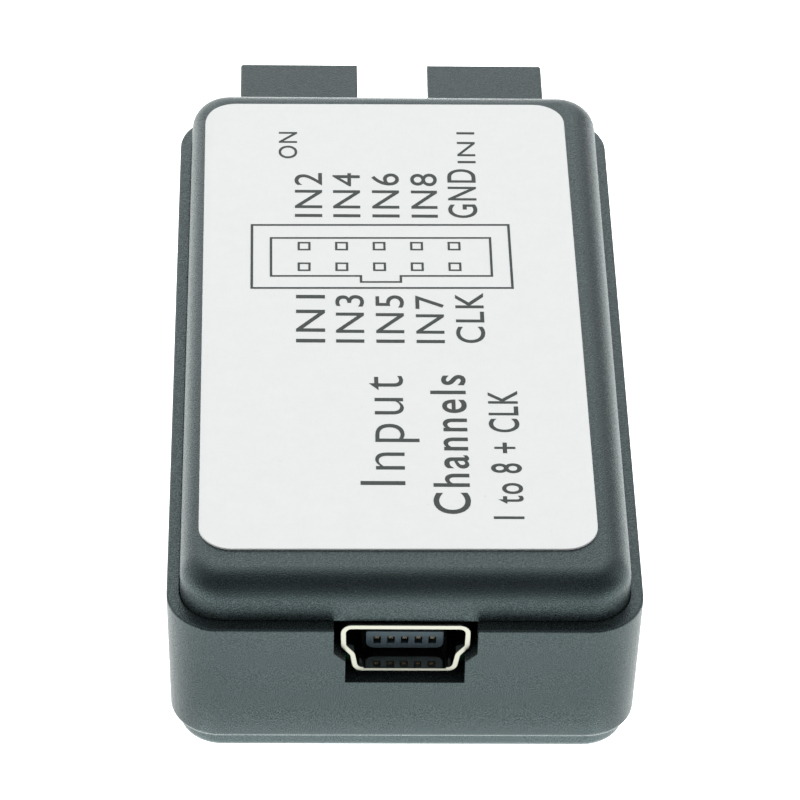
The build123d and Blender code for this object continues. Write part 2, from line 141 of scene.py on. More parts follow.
class Look(Net):
    """A new material whose Principled surface is being set up."""

    def __init__(self, name):
        self.material = bpy.data.materials.new(name)
        self.material.use_nodes = True
        super().__init__(self.material.node_tree)
        self.surface = self.tree.nodes["Principled BSDF"].inputs

    def set(self, socket, value):
        self.put(value, self.surface[socket])

    def bump(self, height, strength, distance, edge=0.0):
        """Surface relief; edge is the radius that sharp corners appear rounded to."""
        bump = self.node("ShaderNodeBump")
        self.put(strength, bump.inputs["Strength"])
        self.put(distance, bump.inputs["Distance"])
        self.put(height, bump.inputs["Height"])
        if edge:
            bevel = self.node("ShaderNodeBevel", samples=4)
            self.put(edge, bevel.inputs["Radius"])
            self.put(bevel.outputs["Normal"], bump.inputs["Normal"])
        self.set("Normal", bump.outputs["Normal"])


def brighter(colour, gain):
    return tuple(c * gain for c in colour)


# ------------------------------------------------------------------ materials


def moulded(name, dark, light, rough=(0.20, 0.34), grain=16500.0, strength=1.0,
            depth=0.000020, edge=0.00010):
    """Spark-textured plastic: fine even sand whose high points carry painted glints, slow
    colour drift, a few pale specks.
    """
    look = Look(name)
    place = look.coords()
    slow = look.noise(place, scale=120.0, detail=4.0)
    sand = look.noise(place, scale=grain, detail=0.5)
    colour = look.ramp(slow, dark, light, over=(0.32, 0.68))
    # painted glints: the high points of the sand get a brighter colour standing in for their
    # highlights
    painted_glint_peaks = look.remap(sand, to=(0.0, 0.9), over=(0.42, 0.75))
    colour = look.mix(painted_glint_peaks, colour, brighter(light, gain=2.6))
    speck = look.noise(place, scale=3600.0, detail=1.0)
    speck = look.remap(speck, to=(0.0, 0.35), over=(0.79, 0.82))
    look.set("Base Color", look.mix(speck, colour, (0.20, 0.22, 0.22)))
    look.set("Roughness", look.remap(sand, to=rough))
    look.set("Specular IOR Level", look.remap(sand, to=(0.79, 0.25)))
    look.set("Specular Tint", (0.76, 1.0, 1.02))
    look.bump(sand, strength=strength, distance=depth, edge=edge)
    return look.material


def metal_base(name, dark, light, grain, stretch=(1, 1, 1), strength=0.12):
    """Metal with relief but no colour or roughness yet; returns look, colour and grain."""
    look = Look(name)
    fine = look.noise(look.coords(stretch), scale=grain, detail=4.0, roughness=0.65)
    colour = look.ramp(look.noise(look.coords(), scale=420.0), dark, light)
    look.set("Metallic", 1.0)
    look.bump(fine, strength=strength, distance=0.00001, edge=0.00006)
    return look, colour, fine


def metal(name, dark, light, rough, grain, stretch=(1, 1, 1)):
    look, colour, fine = metal_base(name, dark, light, grain, stretch)
    look.set("Base Color", colour)
    look.set("Roughness", look.remap(fine, to=rough))
    return look.material


def receptacle_plate():
    """Plated steel: bright drawn plate inside, a duller sheared edge round the mouth, painted
    shade on the inner side walls.
    """
    look, plate, _ = metal_base(
        "receptacle_steel", dark=(0.46, 0.43, 0.36), light=(0.56, 0.53, 0.45),
        grain=2600.0, stretch=(1, 0.12, 1), strength=0.06)
    place = look.axes(look.coords())
    low_corner, high_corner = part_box("usb_shield")
    mouth, ceiling = low_corner.y, high_corner.z
    near = look.remap(place["Y"], to=(1.0, 0.0), over=(mouth + 0.00003, mouth + 0.00012))
    # painted shade: the side walls, below the ceiling, are darker
    wide = look.remap(look.absolute(place["X"]), to=(0.0, 1.0), over=(0.0026, 0.0029))
    below = look.remap(place["Z"], to=(0.0, 1.0), over=(ceiling - 0.0002, ceiling - 0.0004))
    inside = look.mix(look.product(wide, below), plate, (0.13, 0.125, 0.105))
    look.set("Base Color", look.mix(near, inside, (0.43, 0.42, 0.355)))
    look.set("Roughness", look.mix(near, (0.11, 0.11, 0.11), (0.30, 0.30, 0.30)))
    return look.material


def mineral(name, dark, light, rough=(0.35, 0.6), grain=2600.0, coat=0.0):
    look = Look(name)
    fine = look.noise(look.coords(), scale=grain, detail=5.0, roughness=0.7)
    look.set("Base Color", look.ramp(fine, dark, light, over=(0.3, 0.72)))
    look.set("Roughness", look.remap(fine, to=rough))
    look.set("Coat Weight", coat)
    look.bump(fine, strength=0.3, distance=0.00001, edge=0.00005)
    return look.material


def solder_mask(name, dark, light, weave=True):
    """Glossy green resist with a little orange peel; the glass weave may show through."""
    look = Look(name)
    place = look.coords()
    colour = look.ramp(look.noise(place, scale=160.0), dark, light)
    height = look.noise(place, scale=1400.0, detail=2.0)
    if weave:
        threads = []
        for axis in "XY":
            wave = look.node("ShaderNodeTexWave", wave_type="BANDS", bands_direction=axis)
            look.put(620.0, wave.inputs["Scale"])
            look.put(1.2, wave.inputs["Distortion"])
            look.put(place, wave.inputs["Vector"])
            threads.append(wave.outputs["Fac"])
        cloth = look.product(*threads)
        colour = look.mix(look.product(cloth, 0.22), colour, brighter(light, gain=1.7))
        height = look.plus(height, look.product(cloth, 0.5))
    look.set("Base Color", colour)
    look.set("Roughness", look.remap(height, to=(0.16, 0.30)))
    look.set("Coat Weight", 0.4)
    look.set("Coat Roughness", 0.12)
    look.bump(height, strength=0.10, distance=0.00001, edge=0.00004)
    return look.material


def tinted(name, dark, light):
    """Translucent coloured plastic."""
    look = Look(name)
    cloud = look.noise(look.coords(), scale=1500.0, detail=2.0)
    look.set("Base Color", look.ramp(cloud, dark, light))
    look.set("Roughness", look.remap(cloud, to=(0.08, 0.18)))
    look.set("Subsurface Weight", 0.4)
    look.set("Subsurface Scale", 0.0004)
    look.set("Transmission Weight", 0.25)
    look.bump(cloud, strength=0.08, distance=0.00001, edge=0.00005)
    return look.material


def label_film():
    """Matt laminated paper: faint fibre mottling, shallow ripple, a few grey spots."""
    look = Look("label_film")
    place = look.coords()
    mottle = look.noise(place, scale=700.0, detail=5.0, roughness=0.7)
    colour = look.ramp(mottle, (0.675, 0.682, 0.679), (0.708, 0.714, 0.711), over=(0.30, 0.72))
    fibre = look.noise(look.coords(scale=(1, 0.22, 1)), scale=5200.0)
    strands = look.remap(fibre, to=(0.0, 0.35), over=(0.55, 0.8))
    colour = look.mix(strands, colour, (0.655, 0.660, 0.657))
    spots = look.noise(place, scale=2600.0, detail=0.5)
    spots = look.remap(spots, to=(0.0, 0.25), over=(0.80, 0.84))
    look.set("Base Color", look.mix(spots, colour, (0.50, 0.52, 0.52)))
    look.set("Roughness", look.remap(mottle, to=(0.40, 0.55)))
    look.set("Specular IOR Level", 0.35)
    ripple = look.product(look.noise(place, scale=260.0, detail=2.0), 1.5)
    look.bump(look.plus(fibre, ripple), strength=0.10, distance=0.00002, edge=0.00004)
    return look.material


def printed_ink():
    look = Look("label_ink")
    grain = look.noise(look.coords(), scale=6500.0, roughness=0.7)
    colour = look.ramp(grain, (0.024, 0.032, 0.030), (0.050, 0.062, 0.058), over=(0.30, 0.75))
    look.set("Base Color", colour)
    look.set("Roughness", look.remap(grain, to=(0.42, 0.60)))
    look.set("Specular IOR Level", 0.3)
    look.bump(grain, strength=0.2, distance=0.000004)
    return look.material


case_black = moulded("case_spark_black", dark=(0.0080, 0.0110, 0.0118),
                     light=(0.0115, 0.0152, 0.0160))
cover_black = moulded("cover_spark_black", dark=(0.0075, 0.0103, 0.0111),
                      light=(0.0108, 0.0143, 0.0151), grain=14500.0, depth=0.000026)
header_black = moulded("header_nylon", dark=(0.012, 0.015, 0.016), light=(0.018, 0.021, 0.022),
                       rough=(0.34, 0.46), grain=14500.0, depth=0.000030, edge=0.00006)
insulator_black = moulded("receptacle_nylon", dark=(0.018, 0.026, 0.034),
                          light=(0.026, 0.036, 0.046), rough=(0.30, 0.42), grain=9000.0,
                          strength=0.5, depth=0.00001, edge=0.00004)
chip_black = moulded("chip_epoxy", dark=(0.020, 0.020, 0.022), light=(0.034, 0.034, 0.036),
                     rough=(0.45, 0.6), grain=8000.0, strength=0.7, edge=0.00004)
seat_black = moulded("crystal_seat", dark=(0.025, 0.025, 0.026), light=(0.035, 0.035, 0.036),
                     grain=9000.0, strength=0.5, edge=0.00004)

shield_steel = receptacle_plate()
tin = metal("tinned_lead_frame", dark=(0.50, 0.51, 0.52), light=(0.66, 0.67, 0.68),
            rough=(0.24, 0.42), grain=3200.0)
worn = metal("worn_contact_metal", dark=(0.22, 0.19, 0.13), light=(0.32, 0.28, 0.20),
             rough=(0.2, 0.34), grain=3000.0)
gold = metal("gold_flash", dark=(0.50, 0.35, 0.16), light=(0.64, 0.47, 0.24),
             rough=(0.16, 0.3), grain=2600.0)
can_steel = metal("crystal_can_steel", dark=(0.46, 0.46, 0.455), light=(0.58, 0.58, 0.572),
                  rough=(0.16, 0.32), grain=4200.0, stretch=(0.08, 1, 1))

cap_tan = mineral("capacitor_ceramic", dark=(0.34, 0.21, 0.12), light=(0.47, 0.32, 0.19))
res_glaze = mineral("resistor_glaze", dark=(0.012, 0.013, 0.016), light=(0.030, 0.032, 0.036),
                    rough=(0.18, 0.34), coat=0.5)
ferrite = mineral("sintered_ferrite", dark=(0.05, 0.05, 0.055), light=(0.10, 0.10, 0.108),
                  rough=(0.5, 0.75))
tantalum = mineral("amber_mould", dark=(0.50, 0.26, 0.025), light=(0.66, 0.38, 0.05),
                   rough=(0.35, 0.5))
fuse_green = mineral("fuse_laminate", dark=(0.02, 0.12, 0.05), light=(0.04, 0.20, 0.08),
                     rough=(0.3, 0.45), coat=0.4)
led_white = mineral("led_laminate", dark=(0.72, 0.70, 0.64), light=(0.84, 0.82, 0.77))
screen_ink = mineral("legend_ink", dark=(0.74, 0.75, 0.72), light=(0.86, 0.87, 0.84),
                     rough=(0.5, 0.7), grain=9000.0)

board_green = solder_mask("board_resist", dark=(0.006, 0.048, 0.025),
                          light=(0.010, 0.072, 0.037))
trace_green = solder_mask("track_resist", dark=(0.018, 0.115, 0.057),
                          light=(0.027, 0.145, 0.072), weave=False)
red_lens = tinted("red_lens", dark=(0.70, 0.10, 0.06), light=(0.85, 0.20, 0.14))
green_lens = tinted("green_lens", dark=(0.42, 0.60, 0.25), light=(0.58, 0.74, 0.36))
film, ink = label_film(), printed_ink()

PIECE_MATERIALS = {
    "bottom_shell": case_black, "top_cover": cover_black, "top_label": film,
    "circuit_board": board_green, "usb_shield": shield_steel,
    "usb_insulator": insulator_black, "usb_contacts": worn,
    "header_shroud": header_black, "header_pins": gold,
    "controller_body": chip_black, "controller_leads": tin,
    "memory_body": chip_black, "memory_leads": tin,
    "regulator_body": chip_black, "regulator_leads": tin,
    "crystal_base": seat_black, "crystal_can": can_steel, "crystal_leads": tin,
    "ceramic_capacitors": cap_tan, "capacitor_terminals": tin,
    "chip_resistors": res_glaze, "resistor_terminals": tin,
    "resistor_arrays": res_glaze, "array_terminals": tin,
    "bulk_capacitor": tantalum, "bulk_capacitor_terminals": tin,
    "resettable_fuse": fuse_green, "fuse_terminals": tin,
    "ferrite_bead": ferrite, "ferrite_terminals": tin,
    "power_led": red_lens, "channel_led": green_lens, "led_bases": led_white,
}
for name, piece in nodes.items():
    piece.data.materials.clear()
    piece.data.materials.append(PIECE_MATERIALS[name])

# ------------------------------------------------------------------ mesh helpers (mm)


class Build:
    """Collects solids, given in millimetres, and makes one mesh object of them."""

    def __init__(self):
        self.vertices, self.faces = [], []

    def add(self, points, faces):
        base = len(self.vertices)
        self.vertices += [tuple(c * MM for c in point) for point in points]
        self.faces += [tuple(base + i for i in face) for face in faces]

    def loft(self, sections, closed=False):
        """Join equal rings of points in turn; cap the ends, or if closed join last to first."""
        count, size = len(sections), len(sections[0])
        faces = []
        for k in range(count if closed else count - 1):
            here, there = k * size, (k + 1) % count * size
            for i in range(size):
                j = (i + 1) % size
                faces.append((here + i, here + j, there + j, there + i))
        if not closed:
            faces.append(tuple(reversed(range(size))))
            faces.append(tuple(range((count - 1) * size, count * size)))
        self.add([point for section in sections for point in section], faces)

    def ribbon(self, path, width, bottom, top, inset=0.0, closed=False):
        """A mitred ribbon along path, its top narrower by inset on each side."""
        points = [Vector(point) for point in path]
        count, half = len(points), width / 2
        steps = [(points[(i + 1) % count] - points[i]).normalized() for i in range(count)]
        corners = ((half, bottom), (half - inset, top), (inset - half, top), (-half, bottom))
        sections = []
        for i, point in enumerate(points):
            arriving = steps[i - 1] if closed or i else steps[0]
            leaving = steps[i] if closed or i < count - 1 else steps[i - 1]
            normal = Vector((-arriving.y, arriving.x))
            mitre = (normal + Vector((-leaving.y, leaving.x))).normalized()
            # the floor on the cosine limits how far a sharp corner reaches
            offset = mitre * (1.0 / max(0.35, mitre.dot(normal)))
            sections.append([(*(point + offset * across), z) for across, z in corners])
        self.loft(sections, closed)

    def make(self, name, material, body, slot):
        mesh = bpy.data.meshes.new(name)
        mesh.from_pydata(self.vertices, [], self.faces)
        work = bmesh.new()
        work.from_mesh(mesh)
        bmesh.ops.recalc_face_normals(work, faces=work.faces[:])
        work.to_mesh(mesh)
        work.free()
        mesh.materials.append(material)
        made = bpy.data.objects.new(name, mesh)
        scene.collection.objects.link(made)
        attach(made, body)


def octagon(x0, y0, x1, y1, cut, z):
    """A rectangle with its corners cut off."""
    cut = min(cut, (x1 - x0) * 0.45, (y1 - y0) * 0.45)
    return [(x0 + cut, y0, z), (x1 - cut, y0, z), (x1, y0 + cut, z), (x1, y1 - cut, z),
            (x1 - cut, y1, z), (x0 + cut, y1, z), (x0, y1 - cut, z), (x0, y0 + cut, z)]


def circle(x, y, radius, z, sides=16):
    angles = [2 * math.pi * i / sides for i in range(sides)]
    return [(x + radius * math.cos(a), y + radius * math.sin(a), z) for a in angles]


def rectangle(x, y, half_x, half_y):
    return [(x - half_x, y - half_y), (x + half_x, y - half_y),
            (x + half_x, y + half_y), (x - half_x, y + half_y)]


# ------------------------------------------------------------------ label artwork (mm)
LABEL_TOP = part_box("top_label")[1].z / MM
INK_BOTTOM, INK_TOP = LABEL_TOP - 0.004, LABEL_TOP + 0.010
TIGHT, LOOSE = 1.12, 1.18  # letter spacing

# words, x of the capitals' tops, x of the baseline, first y, last y, stroke weight, spacing
LABEL_WORDS = (
    ("ON", -7.61, -6.43, 16.3, 19.1, 0.004, TIGHT),
    ("IN1", 4.05, 5.23, 15.9, 19.2, -0.002, TIGHT),
    ("IN2", -6.56, -4.81, 10.20, 14.76, 0.001, TIGHT),
    ("IN4", -4.10, -2.36, 10.20, 14.76, 0.001, TIGHT),
    ("IN6", -1.58, 0.16, 10.20, 14.76, 0.001, TIGHT),
    ("IN8", 0.94, 2.62, 10.20, 14.76, 0.001, TIGHT),
    ("GND", 3.34, 5.15, 10.19, 15.25, 0.005, TIGHT),
    ("IN1", -6.49, -4.68, -2.25, 2.36, 0.001, TIGHT),
    ("IN3", -4.00, -2.25, -2.25, 2.36, 0.001, TIGHT),
    ("IN5", -1.50, 0.25, -2.25, 2.36, 0.001, TIGHT),
    ("IN7", 1.00, 2.75, -2.25, 2.36, 0.001, TIGHT),
    ("CLK", 3.51, 5.26, -2.22, 2.64, 0.005, TIGHT),
    ("Input", -2.67, 0.09, -15.39, -5.40, -0.009, LOOSE),
    ("Channels", 1.76, 3.88, -17.93, -5.28, 0.009, LOOSE),
    ("1 to 8 + CLK", 5.27, 7.05, -18.35, -6.75, 0.008, TIGHT),
)
# corners (x, y) of the printed frame and of the notched frame inside it
OUTER_FRAME = [(-9.28, 3.02), (7.16, 3.16), (7.12, 9.50), (-9.31, 9.34)]
NOTCHED_FRAME = [(-8.07, 4.22), (-2.39, 4.27), (-2.39, 3.67), (0.13, 3.69),
                 (0.13, 4.29), (5.90, 4.34), (5.90, 8.16), (-8.09, 8.03)]


def glyphs(words, weight, spacing):
    """Points and faces of thin solid lettering, in font units."""
    curve = bpy.data.curves.new("glyphs", "FONT")
    curve.body = words
    curve.offset = weight
    curve.space_character = spacing
    curve.resolution_u = 6
    curve.fill_mode = "BOTH"
    curve.extrude = 0.01
    carrier = bpy.data.objects.new("glyphs", curve)
    scene.collection.objects.link(carrier)
    bpy.context.view_layer.update()
    solid = carrier.evaluated_get(bpy.context.evaluated_depsgraph_get())
    mesh = solid.to_mesh()
    points = [tuple(vertex.co) for vertex in mesh.vertices]
    faces = [tuple(face.vertices) for face in mesh.polygons]
    solid.to_mesh_clear()
    bpy.data.objects.remove(carrier)
    bpy.data.curves.remove(curve)
    return points, faces


def print_label():
    art = Build()
    capital = max(point[1] for point in glyphs("H", weight=0.0, spacing=1.0)[0])
    # words read along +Y with the tops of the capitals towards -X
    for words, x_top, x_base, y_first, y_last, weight, spacing in LABEL_WORDS:
        points, faces = glyphs(words, weight, spacing)
        start = min(point[0] for point in points)
        end = max(point[0] for point in points)
        art.add([(x_base - rise / capital * (x_base - x_top),
                  y_first + (along - start) / (end - start) * (y_last - y_first),
                  INK_TOP if depth > 0 else INK_BOTTOM) for along, rise, depth in points],
                faces)
    art.ribbon(OUTER_FRAME, 0.165, INK_BOTTOM, INK_TOP, closed=True)
    art.ribbon(NOTCHED_FRAME, 0.155, INK_BOTTOM, INK_TOP, closed=True)
    # two rows of five small squares, slightly skewed
    for i in range(5):
        for row_y in (5.15, 7.22):
            square = rectangle(-5.98 + i * 2.39, row_y + 0.022 * i, 0.34, 0.35)
            art.ribbon(square, 0.145, INK_BOTTOM, INK_TOP, closed=True)
    art.make("label_artwork", ink, "cover", "label_film")


print_label()

# ------------------------------------------------------------------ board details (mm)
board_low, board_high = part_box("circuit_board")
ABOVE, BELOW = 1, -1
FACE_Z = {ABOVE: board_high.z / MM, BELOW: board_low.z / MM}
SUNK = 0.004  # how far solder and tracks reach into the board

PIN_X = [(i - 2) * 2.54 for i in range(5)]
LEAD_COUNT, LEAD_PITCH, CHIP_Y = 28, 0.635, 2.0
ARRAY_YS, ARRAY_PITCH = (2.6, 7.6), 0.8  # the two four-track groups at +X
SIDE_PART_XS, SIDE_PART_Y = (-7.1, 6.9), 17.4  # the pad pairs at either side of the header

# piece, pad margin round each foot, height of the solder
JOINTS = (
    ("capacitor_terminals", 0.22, 0.30), ("resistor_terminals", 0.22, 0.22),
    ("array_terminals", 0.12, 0.22), ("bulk_capacitor_terminals", 0.35, 0.35),
    ("fuse_terminals", 0.25, 0.28), ("ferrite_terminals", 0.22, 0.35),
    ("controller_leads", 0.10, 0.10), ("memory_leads", 0.16, 0.14),
    ("regulator_leads", 0.28, 0.18), ("crystal_leads", 0.20, 0.12),
    ("usb_contacts", 0.12, 0.14),
)
# width, then the (x, y) points of each track on the upper face that stands alone
SINGLE_TRACKS = (
    (0.3, [(1.8, -11.4), (1.2, -10.8), (1.2, -9.2), (1.95, -8.35)]),
    (0.3, [(10.4, -11.4), (10.4, -9.0), (9.6, -8.2), (9.3, -8.0)]),
    (0.6, [(-7.4, -15.4), (-7.4, -16.3)]),
    (0.7, [(-9.7, -15.3), (-9.7, -17.2), (-8.5, -17.2)]),
    (0.7, [(-6.4, -17.2), (-5.2, -17.2)]),
    (0.5, [(6.0, -16.6), (5.4, -16.0), (3.4, -14.4), (1.6, -14.4)]),
    (0.6, [(8.9, -16.6), (10.2, -15.9), (11.0, -14.8), (11.0, -2.0), (9.6, -2.0)]),
    (0.3, [(-7.1, 16.2), (-7.1, 15.3)]),
    (0.3, [(6.9, 16.2), (6.9, 15.3)]),
    (0.3, [(-7.1, 13.7), (-7.1, 12.9), (-7.0, 12.1)]),
    (0.6, [(-10.3, 12.1), (-11.1, 11.3), (-11.1, -6.0), (-10.6, -7.2), (-9.0, -8.2)]),
)
# (x, y) of the vias on the upper face that no track loop places
SINGLE_VIAS = (
    (-3.9, -7.6), (3.9, -7.4), (0.6, -10.6), (10.9, 13.9), (-10.9, 14.9), (3.1, 13.6),
    (-3.1, 13.4), (0.4, 14.6), (-9.9, -13.4), (-5.2, 12.6), (5.4, 12.9), (-11.0, -9.6),
    (4.6, -19.4), (-5.6, -19.6), (8.6, -19.0), (6.9, -4.6), (6.6, -2.6), (-0.9, -6.9),
)
# centre x, centre y, width, length of the legend's rectangles
CHIP_OUTLINE = (0.0, CHIP_Y, 8.1, 18.95)
PART_OUTLINES = (
    (-8.7, -3.6, 4.35, 5.3), (-7.4, -11.6, 6.9, 3.9), (-8.6, 12.1, 4.6, 2.3),
    (7.4, -16.6, 4.2, 2.3), (-7.4, -17.2, 3.0, 1.9),
    (8.3, ARRAY_YS[0], 2.3, 3.9), (8.3, ARRAY_YS[1], 2.3, 3.9),
)
# (x, y) centres of the facing pairs of legend brackets
BRACKET_PAIRS = (
    (2.6, -8.0), (8.6, -8.0), (8.2, -5.6), (8.2, -3.8), (8.2, -2.0), (-8.2, 1.3),
    (-8.2, 3.1), (-8.2, 4.9), (-8.2, 7.4), (-8.2, 9.1), (-2.6, -9.6), (8.2, 12.2),
)
solder, tracks, legend = Build(), Build(), Build()


def feet(name):
    """x0, y0, x1, y1, z of the lowest face of every separate solid in a piece."""
    mesh = nodes[name].data
    index_at, ids = {}, []
    for vertex in mesh.vertices:
        micrometres = tuple(round(c * 1e6) for c in vertex.co)
        ids.append(index_at.setdefault(micrometres, len(index_at)))
    parent = list(range(len(index_at)))

    def root(i):
        while parent[i] != i:
            parent[i] = parent[parent[i]]
            i = parent[i]
        return i

    for face in mesh.polygons:
        first, *others = [ids[i] for i in face.vertices]
        for other in others:
            parent[root(first)] = root(other)
    solids = {}
    for place, i in index_at.items():
        solids.setdefault(root(i), []).append(tuple(c / 1000.0 for c in place))
    found = []
    for points in solids.values():
        bottom = min(z for x, y, z in points)
        xs, ys, _ = zip(*[point for point in points if point[2] < bottom + 0.02])
        found.append((min(xs), min(ys), max(xs), max(ys), bottom))
    return sorted(found)


def joint(x0, y0, x1, y1, grow, rise, side=ABOVE):
    """A pad with a concave solder meniscus climbing towards the foot it holds."""
    # margin round the foot, height off the board
    profile = ((grow, -SUNK), (grow, 0.018), (grow * 0.55, 0.030 + rise * 0.12),
               (grow * 0.22, rise * 0.45), (0.015, rise))
    solder.loft([octagon(x0 - margin, y0 - margin, x1 + margin, y1 + margin,
                         0.10 + margin * 0.3, FACE_Z[side] + side * height)
                 for margin, height in profile])


def via(x, y, side=ABOVE):
    """A plated ring standing just proud of the board."""
    outer, inner = 0.33, 0.17
    profile = ((outer, -SUNK), (outer, 0.03), (inner, 0.036), (inner, -SUNK))
    solder.loft([circle(x, y, radius, FACE_Z[side] + side * height)
                 for radius, height in profile], closed=True)


def track(path, width, side=ABOVE):
    """A copper track under the resist, its sides sloping in."""
    face = FACE_Z[side]
    tracks.ribbon(path, width, face - side * SUNK, face + side * 0.034, inset=0.03)


def lead_y(i):
    return CHIP_Y + (i - (LEAD_COUNT - 1) / 2) * LEAD_PITCH


def array_y(centre, k):
    return centre + (k - 1.5) * ARRAY_PITCH


def place_joints():
    for name, grow, rise in JOINTS:
        for x0, y0, x1, y1, z in feet(name):
            if z < FACE_Z[ABOVE] + 0.2:
                joint(x0, y0, x1, y1, grow, rise)
    for sign in (-1, 1):
        # pads towards the USB end
        x0, x1 = sorted((sign * 3.5, sign * 4.75))
        for y in (-21.3, -17.0):
            joint(x0, y - 0.9, x1, y + 0.9, grow=0.30, rise=0.22)
        for x in SIDE_PART_XS:
            y = SIDE_PART_Y + sign * 0.95
            joint(x - 0.5, y - 0.12, x + 0.5, y + 0.12, grow=0.22, rise=0.26)
    for x in PIN_X:
        for side, rise in ((ABOVE, 0.55), (BELOW, 0.35)):
            joint(x - 0.30, 18.80, x + 0.30, 20.9, grow=0.38, rise=rise, side=side)


def lay_upper_tracks():
    array_near_x, array_far_x = 7.5, 9.1
    # chip leads to the near pads of both arrays
    for k in range(4):
        for centre, first_lead in zip(ARRAY_YS, (12, 20)):
            y, start = array_y(centre, k), lead_y(first_lead + k)
            track([(5.35, start), (6.1, start), (6.1 + abs(y - start), y), (array_near_x, y)],
                  width=0.26)
    # second array's far pads round to the header pins
    for k in range(4):
        y, pin = array_y(ARRAY_YS[1], k), PIN_X[4 - k]
        spread = 0.36 * (3 - k)
        lane = 10.0 + spread
        track([(array_far_x, y), (9.35, y), (lane, y + 0.65 + spread), (lane, 12.6 + 0.36 * k),
               (lane - 2.3 - 0.2 * k, 14.9 + 0.16 * k), (pin + 0.9, 16.1 + 0.3 * k),
               (pin, 17.0 + 0.3 * k), (pin, 18.4)], width=0.22)
    # first array's far pads to vias
    for k in range(4):
        y = array_y(ARRAY_YS[0], k)
        track([(array_far_x, y), (9.9, y), (10.35, y + 0.45)], width=0.22)
        via(10.55, y + 0.65)
    # fan of tracks between the USB contacts and the chip
    for x in (-1.6, -0.8, 0.8, 1.6):
        track([(x, -13.9), (x, -12.6 - 0.2 * abs(x)), (x * 1.25, -11.9), (x * 1.25, -9.0),
               (x * 2.0, -8.0)], width=0.24)
    track([(-1.0, -9.0), (-1.0, -7.9)], width=0.24)
    for i in range(3):
        y = lead_y(i)
        track([(5.35, y), (6.0, y), (6.6, y - 0.6)], width=0.22)
    for i, end_y in ((3, -5.505), (4, -4.235), (5, -2.965), (6, -1.695)):
        y = lead_y(i)
        track([(-5.35, y), (-5.45 - abs(end_y - y) * 0.2, y), (-5.6, end_y)], width=0.2)
    for i in range(9, 26, 2):
        y = lead_y(i)
        track([(-5.35, y), (-6.0, y), (-6.45, y + 0.45)], width=0.22)
        via(-6.6, y + 0.6)
    for i in range(10, 27, 4):
        track([(-3.9, lead_y(i)), (-4.3, lead_y(i))], width=0.2)
    for width, path in SINGLE_TRACKS:
        track(path, width)
    for x, y in SINGLE_VIAS:
        via(x, y)


def lay_lower_tracks():
    # a thinned-out, slightly staggered grid of vias
    for column in range(-4, 5):
        for row in range(-5, 6):
            if (column * 7 + row * 5) % 3 == 0:
                via(column * 2.6 + 0.4 * ((row * 3) % 2), row * 3.0 + 0.3 * (column % 2), BELOW)
    for i, x in enumerate(PIN_X):
        track([(x, 18.4), (x, 16.6 - 0.35 * i), (x * 0.8, 15.2 - 0.5 * i),
               (x * 0.8 + 0.2, 1.0 + 0.7 * i), (x * 1.2, -2.0), (x * 1.2, -12.0 + i)],
              width=0.28, side=BELOW)
    track([(-9.8, 14.0), (-9.8, -15.0), (-6.5, -18.2), (6.5, -18.2), (9.8, -15.0),
           (9.8, 13.0)], width=0.9, side=BELOW)


def print_legend():
    """White outlines, brackets and a dot on the upper face."""
    bottom, top = FACE_Z[ABOVE] - 0.002, FACE_Z[ABOVE] + 0.022

    def outline(x, y, width, length):
        legend.ribbon(rectangle(x, y, width / 2, length / 2), 0.13, bottom, top, closed=True)

    def bracket(x, half, open_y, shut_y, line):
        legend.ribbon([(x - half, open_y), (x - half, shut_y), (x + half, shut_y),
                       (x + half, open_y)], line, bottom, top)

    outline(*CHIP_OUTLINE)
    legend.loft([circle(5.6, -7.1, 0.25, z) for z in (bottom, top)])
    for part in PART_OUTLINES:
        outline(*part)
    for x in SIDE_PART_XS:
        bracket(x, half=0.95, open_y=16.1, shut_y=18.7, line=0.13)
    for x, y in BRACKET_PAIRS:
        for sign in (-1, 1):
            bracket(x, half=1.25, open_y=y + sign * 0.35, shut_y=y + sign * 0.68, line=0.11)
    legend.ribbon([(-7.0, 17.9), (-6.35, 17.9)], 0.12, bottom, top)


place_joints()
lay_upper_tracks()
lay_lower_tracks()
print_legend()
solder.make("board_solder", tin, "board", "tinned_leads")
tracks.make("board_tracks", trace_green, "board", "board_laminate")
legend.make("board_legend", screen_ink, "board", "board_laminate")

# ------------------------------------------------------------------ studio (m)
TOWARDS_CAMERA = (-0.02797111, -0.75365205, 0.65667816)


def floor_white():
    """Evenly white to the eye; in reflections it dims towards the camera and by the case."""
    look = Look("studio_floor_white")
    cloud = look.noise(look.coords(), scale=6.0, detail=2.0)
    white = look.ramp(cloud, (0.93, 0.93, 0.93), (0.95, 0.95, 0.95))
    look.set("Roughness", 0.9)
    look.set("Specular IOR Level", 0.1)
    look.set("Emission Color", (0.955, 1.0, 0.993))
    glossy = look.node("ShaderNodeLightPath").outputs["Is Glossy Ray"]
    place = look.axes(look.coords())
    front = look.remap(place["Y"], to=(0.40, 1.0), over=(-0.066, -0.034))
    beside = look.remap(look.absolute(place["X"]), to=(0.74, 1.0), over=(0.018, 0.036))
    tilt = look.remap(place["Y"], to=(1.13, 0.74), over=(-0.0355, -0.0285))
    # a brighter patch across the middle, close to the -Y end of the case
    middle = look.remap(look.absolute(place["X"]), to=(1.0, 0.0), over=(0.0125, 0.0145))
    patch = look.remap(place["Y"], to=(0.0, 1.12), over=(-0.0267, -0.0260))
    lift = look.plus(1.0, look.product(middle, patch))
    mirror_gain, plain_gain = 3.0, 1.45
    mirrored = look.product(front, beside, look.product(tilt, lift), mirror_gain)
    plain = look.product(look.minus(1.0, glossy), plain_gain)
    look.set("Emission Strength", look.plus(plain, look.product(mirrored, glossy)))
    look.set("Base Color", look.mix(glossy, white, (0.0, 0.0, 0.0)))
    return look.material


